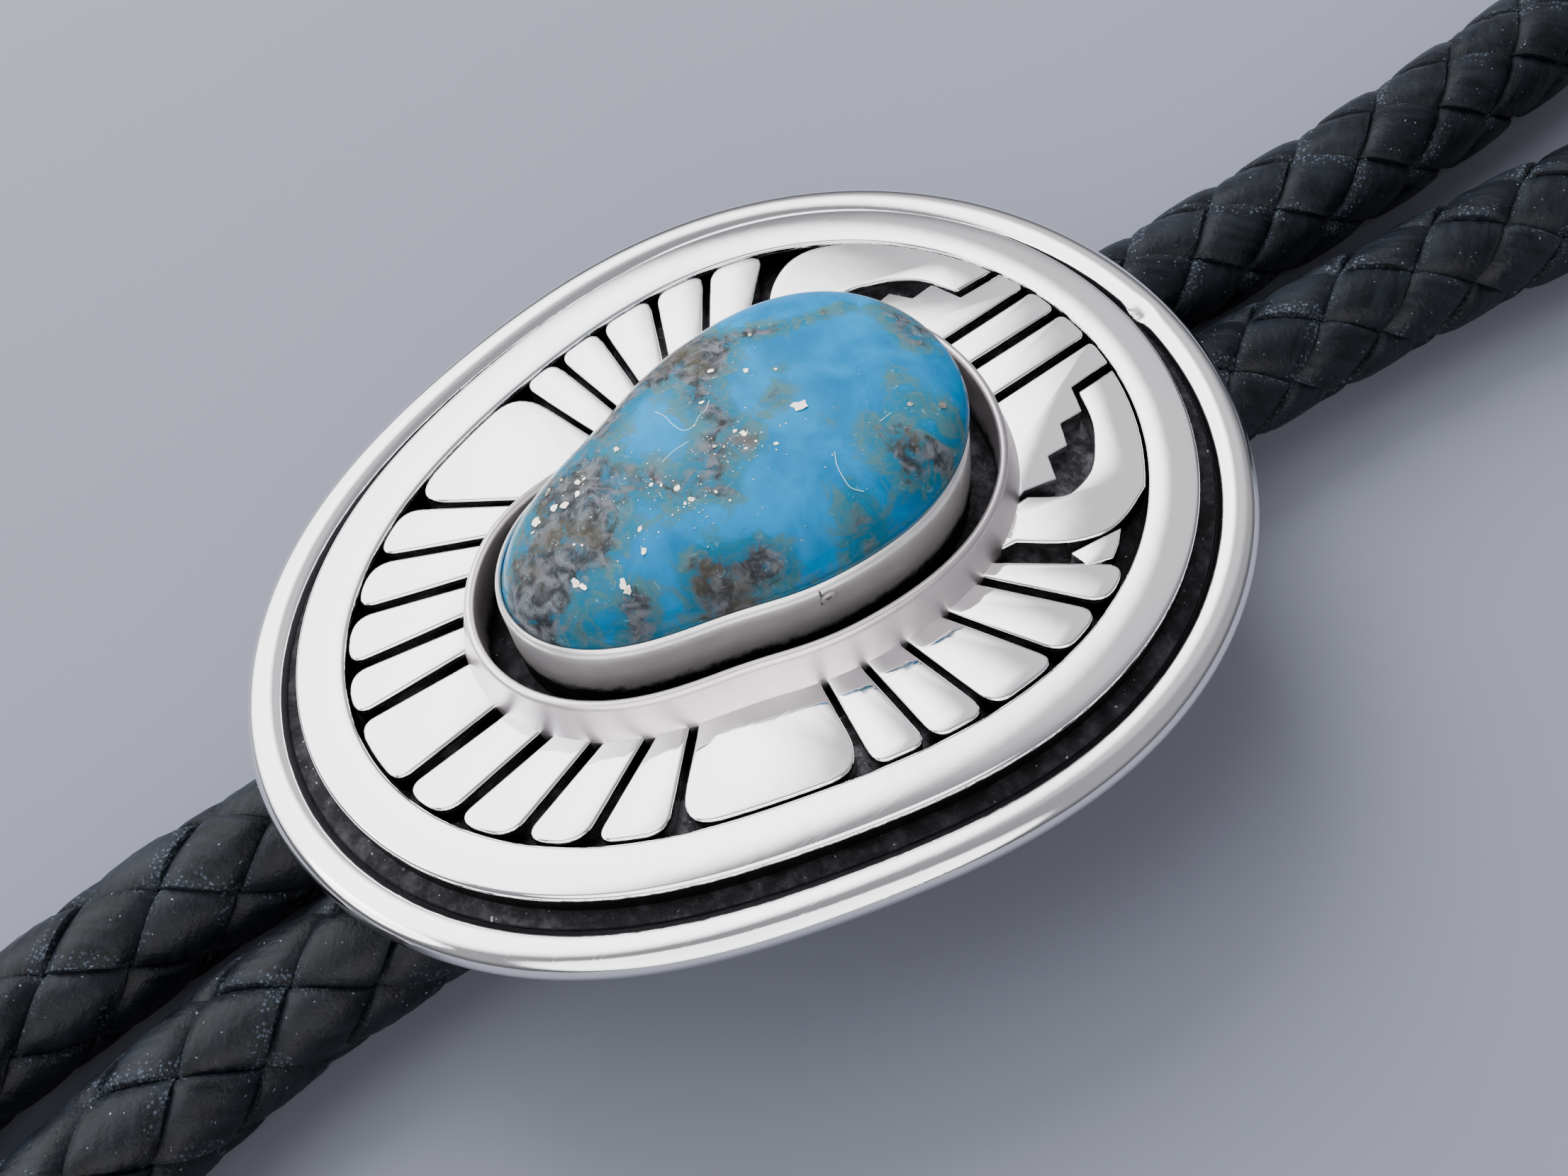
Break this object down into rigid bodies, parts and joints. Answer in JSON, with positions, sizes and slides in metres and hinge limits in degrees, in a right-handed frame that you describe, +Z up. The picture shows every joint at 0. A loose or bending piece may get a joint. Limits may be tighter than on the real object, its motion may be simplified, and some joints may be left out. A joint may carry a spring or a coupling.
{
  "type": "bolo tie",
  "caption": "Bolo tie: an egg-shaped silver slide with feather petals and a collared turquoise cabochon, clipped to a braided leather cord with plain metal tips.",
  "frame": {"origin": "on the surface that the tie lies on, under the centre of the slide's outline", "axes": "+X across the slide to the viewer's right, +Y from the slide towards the neck loop, +Z up out of the stone"},
  "size_m": [0.0381, 0.3263, 0.0179],
  "materials": {
    "silver": "polished sterling silver with fine wear scratches, its recesses blackened",
    "turquoise": "polished turquoise with brown-grey matrix and pyrite flecks",
    "steel": "plain bent sheet metal, satin",
    "leather": "black leather straps braided round, slightly glossy crowns with scuffs"
  },
  "bodies": {
    "root": {"silver_slide": "silver", "turquoise_stone": "turquoise", "cord_clip": "steel", "neck_cord": "leather", "left_tail_cord": "leather", "right_tail_cord": "leather", "left_tip": "silver", "right_tip": "silver"}
  },
  "joints": []
}
